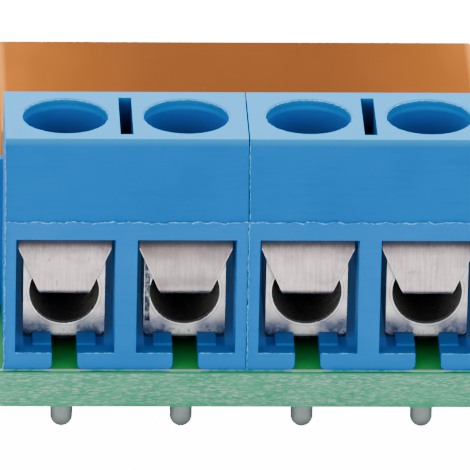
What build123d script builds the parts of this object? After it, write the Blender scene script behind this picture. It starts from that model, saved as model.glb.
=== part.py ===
from build123d import *
import math
import os

# Relay module board with two interlocked two-pole screw terminal blocks and a low two-pole relay.
# Millimetres, +Z up. The origin is the centre of the four mounting holes on the board's underside.
# The terminals face -Y.

# Circuit board
board_thickness = 1.6
hole_inset = 3.0
hole_diameter = 3.2
lead_hole_clearance = 0.1
lead_sides = 8
overrun = 1.0

# Solder joints under the board
solder_height = 0.6
solder_spread = 0.5
solder_bevel = 0.4

# Screw terminal housings
pole_pitch = 5.08
poles_per_block = 2
block_gap = 0.06
block_inset = 0.25
front_slope = 1.31
rear_slope = 1.16
slope_height = 3.25
lintel_height = 0.796
opening_wall = 0.91
opening_bottom = 0.766
pocket_back = 1.3
well_side = 0.285
well_rim = 0.08
slit_width = 0.55
slit_length = 3.9
slit_depth = 3.5
sill_gap_width = 1.08
sill_flare = 0.28
sill_depth = 0.8
floor_rib_width = 0.78
floor_rib_height = 0.185
floor_drop = 0.085
rib_reach = 0.5
rib_neck = 0.34
rib_head = 0.6
rib_setback = 0.65
rib_clearance = 0.05

# Clamp cages with their solder pins
cage_setback = 2.0
cage_depth = 3.5
cage_back_gap = 0.65
cage_side_gap = 0.375
cage_cheek = 0.225
cage_sole = 0.554
cage_roof = 0.691
cage_corner = 0.2
collar_wall = 0.4
collar_height = 0.9
collar_gap = 0.158
thread_clearance = 0.05
pin_diameter = 0.95
pin_reach = 2.68
pin_point = 0.14
pin_shoulder = 0.475
pin_shoulder_share = 0.7071
pin_end_share = 0.25
pin_sides = 12

# Wire guards between the screw tips and the wires
guard_thickness = 0.2
guard_side_gap = 0.13
guard_gap = 0.33
guard_rise = 0.05
guard_headroom = 0.454
guard_lip = 0.43
guard_bend = 0.2
guard_flare_drop = 0.58
tongue_length = 3.1
tongue_side = 0.445

# Clamp screws
head_clearance = 0.125
head_ledge = 0.475
head_rise = 1.194
head_height = 1.0
screw_tip_gap = 0.05
slot_width = 0.6
slot_depth = 0.55

# Relay housing
relay_width = 20.5
relay_depth = 9.9
relay_height = 7.6
relay_gap = 0.2
cover_wall = 0.5
cover_top = 0.6
cover_edge = 0.12
base_thickness = 1.0
base_clearance = 0.05

# Relay magnet
core_diameter = 2.2
core_clearance = 0.05
pole_gap = 0.35
yoke_thickness = 0.8
yoke_row_gap = 0.81
yoke_end_gap = 0.35
yoke_headroom = 0.6
bobbin_wall = 0.35
bobbin_sides = 16
flange_thickness = 0.6
flange_row_gap = 1.21
flange_gap = 0.15
flange_headroom = 0.35
flange_setback = 0.6
winding_rim = 0.15
armature_thickness = 0.8
armature_lift = 0.1
armature_shoulder = 1.2
armature_neck_height = 1.0
hinge_clearance = 0.05
headroom = 0.3

# Relay contact set
pin_grid = 2.54
row_setback = 1.14
contact_end_gap = 0.81
coil_end_gap = 0.91
card_reach = 4.05
blade_thickness = 0.3
blade_width = 0.8
spring_thickness = 0.12
spring_foot_gap = 0.02
spring_lift = 0.15
foot_height = 0.6
contact_drop = 0.7
contact_diameter = 0.76
contact_thickness = 0.25
contact_sides = 12
break_gap = 0.02
make_gap = 0.28
relay_pin_diameter = 0.6
relay_pin_reach = 1.9
coil_pin_height = 2.4
card_thickness = 0.5
card_headroom = 0.5
card_blade_gap = 0.7
card_clearance = 0.06
card_rim = 0.42
card_side_gap = 0.05

# Input header
header_pitch = 2.54
header_poles = 3
header_margin = 1.63
header_pin_size = 0.64
header_pin_rise = 6.0
header_pin_reach = 2.4
header_tip = 0.2
header_corner = 0.4

# Optocoupler
opto_x = -5.0
opto_gap = 3.3
opto_height = 3.4
opto_standoff = 0.5
opto_row_spacing = 7.62
opto_pitch = 2.54
opto_lead_gap = 0.56
opto_end = 0.43
opto_cap = 1.4
opto_edge = 0.35
opto_dot_diameter = 0.8
opto_dot_depth = 0.15
lead_width = 0.5
lead_thickness = 0.25
lead_shoulder_width = 1.2
opto_lead_reach = 2.4

# Flyback diode
diode_x = 4.85
diode_gap = 0.85
diode_diameter = 2.7
diode_length = 5.2
diode_edge = 0.25
diode_lead_out = 2.48
diode_wire = 0.75
diode_bend = 0.9
diode_standoff = 0.15
diode_lead_reach = 2.3

# Switching transistor
transistor_x = 3.0
transistor_gap = 3.05
transistor_length = 2.9
transistor_width = 1.3
transistor_height = 1.0
transistor_standoff = 0.05
transistor_lead_inset = 0.5
transistor_lead_out = 0.55
transistor_lead_width = 0.42
transistor_lead_thickness = 0.12
transistor_edge = 0.12
transistor_foot = 0.35
rear_margin = 3.2

# Chip resistors
chip_length = 2.0
chip_width = 1.25
chip_height = 0.5
chip_edge = 0.06
chip_shift = 4.6
chip_spacing = 2.4
chip_gap = 0.425
chip_lamp_shift = 2.3

# Indicator lamps
lamp_margin = 1.5
lamp_gap = 0.95
lamp_spacing = 6.5
lamp_shift = 1.0
lamp_diameter = 3.0
lamp_rim = 0.4
lamp_rim_height = 1.0
lamp_barrel_height = 2.2
dome_bands = 2
lamp_standoff = 0.5
lamp_lead = 0.5
lamp_lead_pitch = 2.54
lamp_lead_reach = 1.8

# Terminal widths, from the pole pitch inwards
block_width = poles_per_block * pole_pitch
opening_width = pole_pitch - opening_wall
well_diameter = opening_width - 2 * well_side
cage_width = opening_width - 2 * cage_side_gap
wire_hole_diameter = cage_width - 2 * cage_cheek
guard_top_width = opening_width - 2 * guard_side_gap
guard_tongue_width = wire_hole_diameter - 2 * tongue_side
head_diameter = well_diameter - 2 * head_clearance
screw_diameter = head_diameter - 2 * head_ledge
thread_bore = screw_diameter + 2 * thread_clearance
collar_diameter = thread_bore + 2 * collar_wall

# Terminal heights
board_top = board_thickness
pocket_floor = board_top + opening_bottom
cage_floor = pocket_floor - floor_drop
wire_axis = cage_floor + cage_sole + wire_hole_diameter / 2
cage_height = cage_sole + wire_hole_diameter + cage_roof
cage_top = cage_floor + cage_height
collar_top = cage_top + collar_height
pocket_ceiling = collar_top + collar_gap
crease_height = pocket_ceiling - board_top + lintel_height
block_top = board_top + crease_height + slope_height
guard_bottom = wire_axis + guard_rise
guard_top = pocket_ceiling - guard_headroom
screw_tip = guard_bottom + guard_thickness + screw_tip_gap
head_bottom = collar_top + head_rise

# Board size, from the pieces that stand on it
pocket_depth = cage_setback + cage_depth + cage_back_gap
block_depth = pocket_depth + pocket_back
lamp_rim_diameter = lamp_diameter + 2 * lamp_rim
row_width = 2 * block_width + block_gap
side_space = lamp_gap + lamp_rim_diameter + lamp_margin
board_width = max(row_width, relay_width) + 2 * side_space
transistor_span = transistor_width + 2 * transistor_lead_out
rear_space = diode_gap + diode_diameter + transistor_gap + transistor_span + rear_margin
board_length = block_inset + block_depth + relay_gap + relay_depth + rear_space

front_edge = -board_length / 2
block_front = front_edge + block_inset
block_rear = block_front + block_depth
cage_front = block_front + cage_setback
terminal_y = cage_front + cage_depth / 2
guard_front = cage_front - guard_gap - guard_thickness
block_centres = [side * (block_width + block_gap) / 2 for side in (-1, 1)]
terminal_places = [
    centre + side * pole_pitch / 2 for centre in block_centres for side in (-1, 1)
]

# Relay places, from its cover inwards
relay_front = block_rear + relay_gap
relay_rear = relay_front + relay_depth
relay_y = relay_front + relay_depth / 2
inner_end = relay_width / 2 - cover_wall
inner_height = relay_height - cover_top - base_thickness
base_top = board_top + base_thickness
inner_top = base_top + inner_height
row_spacing = relay_depth - 2 * row_setback
row_places = [relay_y + side * row_spacing / 2 for side in (-1, 1)]
common_x = inner_end - contact_end_gap - pin_grid
coil_pin_x = coil_end_gap - inner_end
armature_face = common_x - card_reach
pole_face = armature_face - pole_gap
yoke_end = armature_face - hinge_clearance
yoke_start = yoke_end_gap - inner_end
yoke_top = base_top + yoke_thickness
yoke_width = row_spacing - 2 * yoke_row_gap
flange_end = pole_face - flange_setback
flange_width = row_spacing - 2 * flange_row_gap
flange_height = inner_height - yoke_thickness - flange_gap - flange_headroom
coil_axis = yoke_top + flange_gap + flange_height / 2
winding_diameter = flange_height - 2 * winding_rim
armature_bottom = base_top + armature_lift
armature_shoulder_z = inner_top - headroom - armature_neck_height
armature_neck_width = flange_width - 2 * armature_shoulder
spring_face = common_x - blade_thickness / 2 - spring_foot_gap
spring_back = spring_face - spring_thickness
card_bottom = inner_top - card_headroom - card_thickness
fixed_blade_top = card_bottom - card_blade_gap
contact_z = fixed_blade_top - contact_drop

# Places of the small pieces
header_x = board_width / 2 - header_margin - header_pitch / 2
header_places = [(n - (header_poles - 1) / 2) * header_pitch for n in range(header_poles)]
lamp_x = lamp_margin + lamp_rim_diameter / 2 - board_width / 2
lamp_places = [side * lamp_spacing / 2 - lamp_shift for side in (-1, 1)]
opto_length = opto_row_spacing - 2 * opto_lead_gap
opto_width = opto_pitch + lead_shoulder_width + 2 * opto_end
opto_y = relay_rear + opto_gap + opto_width / 2
diode_y = relay_rear + diode_gap + diode_diameter / 2
diode_span = diode_length + 2 * diode_lead_out
transistor_y = board_length / 2 - rear_margin - transistor_span / 2
chip_places = (
    (transistor_x + chip_shift, transistor_y - chip_spacing / 2),
    (transistor_x + chip_shift, transistor_y + chip_spacing / 2),
    (lamp_x + chip_lamp_shift, lamp_places[-1] + (lamp_rim_diameter + chip_width) / 2 + chip_gap),
)

# Leads that pass through the board, by section: width across X, width across Y or None if round
relay_pins = [(coil_pin_x, y) for y in row_places]
relay_pins += [(common_x + step * pin_grid, y) for y in row_places for step in (-1, 0, 1)]
lead_groups = (
    (pin_diameter, None, [(x, terminal_y) for x in terminal_places]),
    (relay_pin_diameter, None, relay_pins),
    (header_pin_size, header_pin_size, [(header_x, y) for y in header_places]),
    (
        lead_thickness,
        lead_width,
        [
            (opto_x + side * opto_row_spacing / 2, opto_y + row * opto_pitch / 2)
            for side in (-1, 1)
            for row in (-1, 1)
        ],
    ),
    (diode_wire, None, [(diode_x + side * diode_span / 2, diode_y) for side in (-1, 1)]),
    (
        lamp_lead,
        lamp_lead,
        [(lamp_x, y + side * lamp_lead_pitch / 2) for y in lamp_places for side in (-1, 1)],
    ),
)


def hole_radius(width, depth):
    """Radius of the board's hole round a lead."""
    across = width if depth is None else math.hypot(width, depth)
    return across / 2 + lead_hole_clearance


def flat_sided(inner_radius, mode=Mode.ADD):
    """Small round section drawn with flat sides that touch the given radius from outside."""
    RegularPolygon(inner_radius, lead_sides, major_radius=False, mode=mode)


def finish(part, name):
    """Labels a finished piece and writes it under its own name."""
    part.label = name
    export_step(part, f"parts/{name}.step")
    return part


os.makedirs("parts", exist_ok=True)

# Board with four round mounting holes and a small flat-sided hole for each lead
with BuildPart() as pcb_board:
    with BuildSketch(Plane.XY):
        Rectangle(board_width, board_length)
        with GridLocations(board_width - 2 * hole_inset, board_length - 2 * hole_inset, 2, 2):
            Circle(hole_diameter / 2, mode=Mode.SUBTRACT)
        for width, depth, places in lead_groups:
            with Locations(*places):
                flat_sided(hole_radius(width, depth), Mode.SUBTRACT)
    extrude(amount=board_thickness)
finish(pcb_board.part, "pcb_board")

# Bevelled solder joints under the board, each round its own lead
with BuildPart() as solder_joints:
    for width, depth, places in lead_groups:
        with BuildSketch(Plane.XY):
            with Locations(*places):
                flat_sided(hole_radius(width, depth) + solder_spread)
        extrude(amount=-solder_height)
    chamfer(solder_joints.edges().group_by(Axis.Z)[0], solder_bevel)
    for width, depth, places in lead_groups:
        with BuildSketch(Plane.XY.offset(-solder_height)):
            with Locations(*places):
                if depth is None:
                    flat_sided(width / 2)
                else:
                    Rectangle(width, depth)
        extrude(amount=solder_height, mode=Mode.SUBTRACT)
finish(solder_joints.part, "solder_joints")


def dovetail(side_x, neck, head):
    """Dovetail outline in plan, from the side face at side_x towards -X."""
    rib_y = block_rear - rib_setback
    Polygon(
        (side_x, rib_y - neck / 2),
        (side_x - rib_reach, rib_y - head / 2),
        (side_x - rib_reach, rib_y + head / 2),
        (side_x, rib_y + neck / 2),
        align=None,
    )


def terminal_housing(centre):
    """Moulded two-pole housing: wire openings in front, screw wells on top, dovetails at the sides."""
    left = centre - block_width / 2
    right = centre + block_width / 2
    with BuildPart() as housing:
        with BuildSketch(Plane.YZ.offset(left)):
            with BuildLine():
                Polyline(
                    (block_front, board_top),
                    (block_front, board_top + crease_height),
                    (block_front + front_slope, block_top),
                    (block_rear - rear_slope, block_top),
                    (block_rear, board_top + crease_height),
                    (block_rear, board_top),
                    close=True,
                )
            make_face()
        extrude(amount=block_width)
        with BuildSketch(Plane.XY.offset(board_top)):
            dovetail(left, rib_neck, rib_head)
        extrude(amount=crease_height)
        with BuildSketch(Plane.XY.offset(board_top)):
            dovetail(right, rib_neck + 2 * rib_clearance, rib_head + 2 * rib_clearance)
        extrude(amount=crease_height, mode=Mode.SUBTRACT)
        places = [centre + side * pole_pitch / 2 for side in (-1, 1)]
        for x in places:
            with BuildSketch(Plane.XZ.offset(-block_front)):
                with Locations((x, (pocket_floor + pocket_ceiling) / 2)):
                    Rectangle(opening_width, pocket_ceiling - pocket_floor)
            extrude(amount=-pocket_depth, mode=Mode.SUBTRACT)
            with BuildSketch(Plane.XY.offset(pocket_floor)):
                with Locations((x, block_front + (sill_depth + pocket_depth) / 2)):
                    Rectangle(opening_width, pocket_depth - sill_depth)
            extrude(amount=-floor_drop, mode=Mode.SUBTRACT)
            with BuildSketch(Plane.XY.offset(pocket_ceiling)):
                with Locations((x, terminal_y)):
                    Circle(well_diameter / 2)
            extrude(amount=block_top - pocket_ceiling, mode=Mode.SUBTRACT)
            with BuildSketch(Plane.XY.offset(board_top)):
                slot_end = terminal_y + pin_diameter
                with Locations((x, (block_front + slot_end) / 2)):
                    Rectangle(sill_gap_width, slot_end - block_front)
            extrude(amount=opening_bottom, mode=Mode.SUBTRACT)
            with BuildSketch(Plane.XY.offset(cage_floor)):
                for side in (-1, 1):
                    rib_x = x + side * (sill_gap_width + floor_rib_width) / 2
                    with Locations((rib_x, (block_front + sill_depth + cage_front) / 2)):
                        Rectangle(floor_rib_width, cage_front - block_front - sill_depth)
            extrude(amount=floor_rib_height)
        with BuildSketch(Plane.XY.offset(block_top - slit_depth)):
            with Locations((centre, terminal_y)):
                Rectangle(slit_width, slit_length)
        extrude(amount=slit_depth, mode=Mode.SUBTRACT)
        gap_edges = (
            housing.edges()
            .filter_by(Axis.Y)
            .filter_by(lambda e: abs(e.center().Z - board_top) < sill_flare / 2)
            .filter_by(
                lambda e: any(
                    abs(abs(e.center().X - x) - sill_gap_width / 2) < sill_flare / 2 for x in places
                )
            )
        )
        fillet(gap_edges, sill_flare)
        rims = (
            housing.edges()
            .filter_by(GeomType.CIRCLE)
            .filter_by(lambda e: abs(e.center().Z - block_top) < well_rim)
        )
        chamfer(rims, well_rim)
    return housing.part


for side, centre in zip(("left", "right"), block_centres):
    finish(terminal_housing(centre), f"terminal_housing_{side}")


def clamp_cage(x):
    """Folded cage with a round wire hole, a threaded collar above and a flat-sided solder pin."""
    with BuildPart() as cage:
        with BuildSketch(Plane.XZ.offset(-cage_front)):
            with Locations((x, cage_floor + cage_height / 2)):
                Rectangle(cage_width, cage_height)
        extrude(amount=-cage_depth)
        chamfer(cage.edges().filter_by(Axis.Y), cage_corner)
        with BuildSketch(Plane.XY.offset(cage_top)):
            with Locations((x, terminal_y)):
                Circle(collar_diameter / 2)
        extrude(amount=collar_height)
        with BuildSketch(Plane.XZ.offset(-cage_front)):
            with Locations((x, wire_axis)):
                Circle(wire_hole_diameter / 2)
        extrude(amount=-cage_depth, mode=Mode.SUBTRACT)
        with BuildSketch(Plane.XY.offset(wire_axis)):
            with Locations((x, terminal_y)):
                Circle(thread_bore / 2)
        extrude(amount=collar_top - wire_axis, mode=Mode.SUBTRACT)
        pin_radius = pin_diameter / 2
        pin_sections = (
            (-pin_reach, pin_radius * pin_end_share),
            (pin_point - pin_reach, pin_radius * pin_shoulder_share),
            (pin_shoulder - pin_reach, pin_radius),
            (cage_floor, pin_radius),
        )
        for level, radius in pin_sections:
            with BuildSketch(Plane.XY.offset(level)):
                with Locations((x, terminal_y)):
                    RegularPolygon(radius, pin_sides)
        loft(ruled=True)
    return cage.part


def wire_guard(x):
    """Bent strip: a tapered flap in front of the cage and a tongue under the screw tip."""
    flap_middle = guard_front + guard_thickness / 2
    tongue_middle = guard_bottom + guard_thickness / 2
    lip_middle = guard_top - guard_thickness / 2
    with BuildPart() as guard:
        with BuildSketch(Plane.YZ.offset(x)):
            with BuildLine():
                FilletPolyline(
                    (guard_front + guard_lip, lip_middle),
                    (flap_middle, lip_middle),
                    (flap_middle, tongue_middle),
                    (guard_front + tongue_length, tongue_middle),
                    radius=guard_bend,
                )
            trace(line_width=guard_thickness)
        extrude(amount=guard_top_width / 2, both=True)
        with BuildSketch(Plane.XZ.offset(-guard_front + overrun)):
            with BuildLine():
                Polyline(
                    (x - guard_tongue_width / 2, guard_bottom - overrun),
                    (x - guard_tongue_width / 2, guard_bottom + guard_thickness / 2),
                    (x - guard_top_width / 2, guard_top - guard_flare_drop),
                    (x - guard_top_width / 2, guard_top + overrun),
                    (x + guard_top_width / 2, guard_top + overrun),
                    (x + guard_top_width / 2, guard_top - guard_flare_drop),
                    (x + guard_tongue_width / 2, guard_bottom + guard_thickness / 2),
                    (x + guard_tongue_width / 2, guard_bottom - overrun),
                    close=True,
                )
            make_face()
        extrude(amount=-tongue_length - 2 * overrun, mode=Mode.INTERSECT)
    return guard.part


def clamp_screw(x):
    """Slotted clamp screw with a plain shank in place of its fine thread."""
    with BuildPart() as screw:
        with BuildSketch(Plane.XY.offset(screw_tip)):
            with Locations((x, terminal_y)):
                Circle(screw_diameter / 2)
        extrude(amount=head_bottom - screw_tip)
        with BuildSketch(Plane.XY.offset(head_bottom)):
            with Locations((x, terminal_y)):
                Circle(head_diameter / 2)
        extrude(amount=head_height)
        with BuildSketch(Plane.XY.offset(head_bottom + head_height - slot_depth)):
            with Locations((x, terminal_y)):
                Rectangle(head_diameter + overrun, slot_width)
        extrude(amount=slot_depth, mode=Mode.SUBTRACT)
    return screw.part


for number, x in enumerate(terminal_places, start=1):
    finish(clamp_cage(x), f"clamp_cage_{number}")
    finish(wire_guard(x), f"wire_guard_{number}")
    finish(clamp_screw(x), f"clamp_screw_{number}")

# Relay cover, a box open below
with BuildPart() as relay_cover:
    with BuildSketch(Plane.XY.offset(board_top)):
        with Locations((0, relay_y)):
            Rectangle(relay_width, relay_depth)
    extrude(amount=relay_height)
    chamfer(relay_cover.edges().filter_by(Axis.Z), cover_edge)
    fillet(relay_cover.faces().sort_by(Axis.Z)[-1].edges(), cover_edge)
    with BuildSketch(Plane.XY.offset(board_top)):
        with Locations((0, relay_y)):
            Rectangle(relay_width - 2 * cover_wall, relay_depth - 2 * cover_wall)
    extrude(amount=relay_height - cover_top, mode=Mode.SUBTRACT)
finish(relay_cover.part, "relay_cover")

# Relay base, closing the cover and holding the pins
with BuildPart() as relay_base:
    with BuildSketch(Plane.XY.offset(board_top)):
        with Locations((0, relay_y)):
            Rectangle(
                relay_width - 2 * cover_wall - 2 * base_clearance,
                relay_depth - 2 * cover_wall - 2 * base_clearance,
            )
        with Locations(*relay_pins):
            flat_sided(relay_pin_diameter / 2, Mode.SUBTRACT)
    extrude(amount=base_thickness)
finish(relay_base.part, "relay_base")

# Yoke: plate on the base with an upright leg that takes the core's end
with BuildPart() as relay_yoke:
    with BuildSketch(Plane.XZ.offset(-relay_y)):
        with BuildLine():
            Polyline(
                (yoke_start, base_top),
                (yoke_end, base_top),
                (yoke_end, yoke_top),
                (yoke_start + yoke_thickness, yoke_top),
                (yoke_start + yoke_thickness, inner_top - yoke_headroom),
                (yoke_start, inner_top - yoke_headroom),
                close=True,
            )
        make_face()
    extrude(amount=yoke_width / 2, both=True)
    with BuildSketch(Plane.YZ.offset(yoke_start)):
        with Locations((relay_y, coil_axis)):
            Circle(core_diameter / 2)
    extrude(amount=yoke_thickness, mode=Mode.SUBTRACT)
finish(relay_yoke.part, "relay_yoke")

# Round iron core through the coil, riveted in the yoke's leg
with BuildPart() as coil_core:
    with BuildSketch(Plane.YZ.offset(yoke_start)):
        with Locations((relay_y, coil_axis)):
            Circle(core_diameter / 2)
    extrude(amount=pole_face - yoke_start)
finish(coil_core.part, "coil_core")

# Bobbin: a tube with two flanges
bobbin_start = yoke_start + yoke_thickness
bobbin_bore = core_diameter + 2 * core_clearance
bobbin_outer = bobbin_bore + 2 * bobbin_wall
with BuildPart() as coil_bobbin:
    with BuildSketch(Plane.YZ.offset(bobbin_start)):
        with Locations((relay_y, coil_axis)):
            RegularPolygon(bobbin_outer / 2, bobbin_sides)
    extrude(amount=flange_end - bobbin_start)
    for start in (bobbin_start, flange_end - flange_thickness):
        with BuildSketch(Plane.YZ.offset(start)):
            with Locations((relay_y, coil_axis)):
                Rectangle(flange_width, flange_height)
        extrude(amount=flange_thickness)
    with BuildSketch(Plane.YZ.offset(bobbin_start)):
        with Locations((relay_y, coil_axis)):
            RegularPolygon(bobbin_bore / 2, bobbin_sides, major_radius=False)
    extrude(amount=flange_end - bobbin_start, mode=Mode.SUBTRACT)
finish(coil_bobbin.part, "coil_bobbin")

# Copper winding between the flanges
with BuildPart() as coil_winding:
    with BuildSketch(Plane.YZ.offset(bobbin_start + flange_thickness)):
        with Locations((relay_y, coil_axis)):
            RegularPolygon(winding_diameter / 2, bobbin_sides)
            RegularPolygon(bobbin_outer / 2, bobbin_sides, mode=Mode.SUBTRACT)
    extrude(amount=flange_end - bobbin_start - 2 * flange_thickness)
finish(coil_winding.part, "coil_winding")

# Armature: upright plate that tilts on the yoke's end, with a narrow neck in the card's window
with BuildPart() as relay_armature:
    with BuildSketch(Plane.YZ.offset(armature_face)):
        with Locations((relay_y, (armature_bottom + armature_shoulder_z) / 2)):
            Rectangle(flange_width, armature_shoulder_z - armature_bottom)
        with Locations((relay_y, armature_shoulder_z + armature_neck_height / 2)):
            Rectangle(armature_neck_width, armature_neck_height)
    extrude(amount=armature_thickness)
finish(relay_armature.part, "relay_armature")

# Actuator card: a plate with a window for the armature's neck and one for each pole spring
card_start = armature_face - card_clearance - card_rim
card_end = spring_face + card_clearance + card_rim
card_span = relay_depth - 2 * cover_wall - 2 * card_side_gap
with BuildPart() as actuator_card:
    with BuildSketch(Plane.XY.offset(card_bottom)):
        with Locations(((card_start + card_end) / 2, relay_y)):
            Rectangle(card_end - card_start, card_span)
        with Locations((armature_face + armature_thickness / 2, relay_y)):
            Rectangle(
                armature_thickness + 2 * card_clearance,
                armature_neck_width + 2 * card_clearance,
                mode=Mode.SUBTRACT,
            )
        with Locations(*[((spring_face + spring_back) / 2, y) for y in row_places]):
            Rectangle(
                spring_thickness + 2 * card_clearance,
                blade_width + 2 * card_clearance,
                mode=Mode.SUBTRACT,
            )
    extrude(amount=card_thickness)
finish(actuator_card.part, "actuator_card")


def upright_blade(x, y, bottom, height, thickness):
    """Upright flat blade across X, centred on x, added to the open part."""
    with Locations((x, y, bottom)):
        Box(thickness, blade_width, height, align=(Align.CENTER, Align.CENTER, Align.MIN))


def common_terminal(y):
    """Pin with a short upright foot that holds the pole spring."""
    with BuildPart() as terminal:
        with BuildSketch(Plane.XY.offset(-relay_pin_reach)):
            with Locations((common_x, y)):
                flat_sided(relay_pin_diameter / 2)
        extrude(amount=relay_pin_reach + base_top)
        upright_blade(common_x, y, base_top, foot_height, blade_thickness)
    return terminal.part


def fixed_terminal(y, blade_x, pin_x):
    """Pin, a strip along the base and an upright contact blade."""
    strip_start = min(blade_x - blade_thickness / 2, pin_x - relay_pin_diameter / 2)
    strip_end = max(blade_x + blade_thickness / 2, pin_x + relay_pin_diameter / 2)
    with BuildPart() as terminal:
        with BuildSketch(Plane.XY.offset(-relay_pin_reach)):
            with Locations((pin_x, y)):
                flat_sided(relay_pin_diameter / 2)
        extrude(amount=relay_pin_reach + base_top)
        with BuildSketch(Plane.XY.offset(base_top)):
            with Locations(((strip_start + strip_end) / 2, y)):
                Rectangle(strip_end - strip_start, blade_width)
        extrude(amount=blade_thickness)
        upright_blade(blade_x, y, base_top, fixed_blade_top - base_top, blade_thickness)
    return terminal.part


def pole_spring(y):
    """Flat moving spring, rooted at the common terminal's foot."""
    spring_bottom = base_top + spring_lift
    with BuildPart() as spring:
        upright_blade(
            (spring_face + spring_back) / 2,
            y,
            spring_bottom,
            inner_top - headroom - spring_bottom,
            spring_thickness,
        )
    return spring.part


def moving_contact(y):
    """Pair of rivet heads, one on each face of the pole spring."""
    with BuildPart() as contact:
        for start in (spring_face, spring_back - contact_thickness):
            with BuildSketch(Plane.YZ.offset(start)):
                with Locations((y, contact_z)):
                    RegularPolygon(contact_diameter / 2, contact_sides)
            extrude(amount=contact_thickness)
    return contact.part


break_face = spring_face + contact_thickness + break_gap
break_blade_x = break_face + contact_thickness + blade_thickness / 2
make_face_x = spring_back - contact_thickness - make_gap
make_blade_x = make_face_x - contact_thickness - blade_thickness / 2
for number, y in enumerate(row_places, start=1):
    finish(common_terminal(y), f"common_terminal_{number}")
    finish(fixed_terminal(y, make_blade_x, common_x - pin_grid), f"make_terminal_{number}")
    finish(fixed_terminal(y, break_blade_x, common_x + pin_grid), f"break_terminal_{number}")
    finish(pole_spring(y), f"pole_spring_{number}")
    finish(moving_contact(y), f"moving_contact_{number}")
    with BuildPart() as coil_pin:
        with BuildSketch(Plane.XY.offset(-relay_pin_reach)):
            with Locations((coil_pin_x, y)):
                flat_sided(relay_pin_diameter / 2)
        extrude(amount=relay_pin_reach + base_top + coil_pin_height)
    finish(coil_pin.part, f"coil_pin_{number}")

# Fixed contact rivets, two of each kind
with BuildPart() as fixed_contacts:
    for start in (break_face, make_face_x - contact_thickness):
        with BuildSketch(Plane.YZ.offset(start)):
            with Locations(*[(y, contact_z) for y in row_places]):
                RegularPolygon(contact_diameter / 2, contact_sides)
        extrude(amount=contact_thickness)
finish(fixed_contacts.part, "fixed_contacts")

# Input header: a moulded strip with one square pin in each pole
with BuildPart() as header_strip:
    with BuildSketch(Plane.XY.offset(board_top)):
        for y in header_places:
            with Locations((header_x, y)):
                Rectangle(header_pitch, header_pitch)
                Rectangle(header_pin_size, header_pin_size, mode=Mode.SUBTRACT)
    extrude(amount=header_pitch)
    corners = header_strip.edges().filter_by(Axis.Z).filter_by(
        lambda e: abs(abs(e.center().X - header_x) - header_pitch / 2) < header_pin_size / 2
    )
    chamfer(corners, header_corner)
finish(header_strip.part, "header_strip")

for number, y in enumerate(header_places, start=1):
    with BuildPart() as header_pin:
        with BuildSketch(Plane.XY.offset(-header_pin_reach)):
            with Locations((header_x, y)):
                Rectangle(header_pin_size, header_pin_size)
        extrude(amount=header_pin_reach + board_top + header_pitch + header_pin_rise)
        for face in (header_pin.faces().sort_by(Axis.Z)[0], header_pin.faces().sort_by(Axis.Z)[-1]):
            chamfer(face.edges(), header_tip)
    finish(header_pin.part, f"header_pin_{number}")

# Optocoupler body with its pin-one dimple
opto_bottom = board_top + opto_standoff
with BuildPart() as optocoupler_body:
    with BuildSketch(Plane.XY.offset(opto_bottom)):
        with Locations((opto_x, opto_y)):
            Rectangle(opto_length, opto_width)
    extrude(amount=opto_height)
    chamfer(optocoupler_body.faces().sort_by(Axis.Z)[-1].edges(), opto_edge)
    with BuildSketch(Plane.XY.offset(opto_bottom + opto_height - opto_dot_depth)):
        dot_x = opto_x - opto_length / 2 + opto_edge + opto_dot_diameter
        dot_y = opto_y - opto_width / 2 + opto_edge + opto_dot_diameter
        with Locations((dot_x, dot_y)):
            Circle(opto_dot_diameter / 2)
    extrude(amount=opto_dot_depth, mode=Mode.SUBTRACT)
finish(optocoupler_body.part, "optocoupler_body")

# Optocoupler leads: out of the body's side, then down through the board
with BuildPart() as optocoupler_leads:
    lead_z = opto_bottom + opto_height - opto_cap
    for side in (-1, 1):
        side_face = opto_x + side * opto_length / 2
        lead_x = opto_x + side * opto_row_spacing / 2
        lead_outer = lead_x + side * lead_thickness / 2
        for row in (-1, 1):
            lead_y = opto_y + row * opto_pitch / 2
            with BuildSketch(Plane.XY.offset(-opto_lead_reach)):
                with Locations((lead_x, lead_y)):
                    Rectangle(lead_thickness, lead_width)
            extrude(amount=opto_lead_reach + lead_z)
            with BuildSketch(Plane.XY.offset(opto_bottom)):
                with Locations((lead_x, lead_y)):
                    Rectangle(lead_thickness, lead_shoulder_width)
            extrude(amount=lead_z - opto_bottom)
            with BuildSketch(Plane.XY.offset(lead_z - lead_thickness)):
                with Locations(((side_face + lead_outer) / 2, lead_y)):
                    Rectangle(abs(lead_outer - side_face), lead_shoulder_width)
            extrude(amount=lead_thickness)
finish(optocoupler_leads.part, "optocoupler_leads")

# Flyback diode lying on the board
diode_axis = board_top + diode_standoff + diode_diameter / 2
diode_start = diode_x - diode_length / 2
with BuildPart() as diode_body:
    with BuildSketch(Plane.YZ.offset(diode_start)):
        with Locations((diode_y, diode_axis)):
            Circle(diode_diameter / 2)
    extrude(amount=diode_length)
    chamfer(diode_body.edges().filter_by(GeomType.CIRCLE), diode_edge)
finish(diode_body.part, "diode_body")

with BuildPart() as diode_leads:
    for side in (-1, 1):
        end_x = diode_x + side * diode_length / 2
        down_x = diode_x + side * diode_span / 2
        with BuildLine():
            lead_route = FilletPolyline(
                (end_x, diode_y, diode_axis),
                (down_x, diode_y, diode_axis),
                (down_x, diode_y, -diode_lead_reach),
                radius=diode_bend,
            )
        with BuildSketch(Plane(origin=lead_route @ 0, x_dir=(0, 1, 0), z_dir=lead_route % 0)):
            flat_sided(diode_wire / 2)
        sweep(path=lead_route)
finish(diode_leads.part, "diode_leads")

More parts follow.
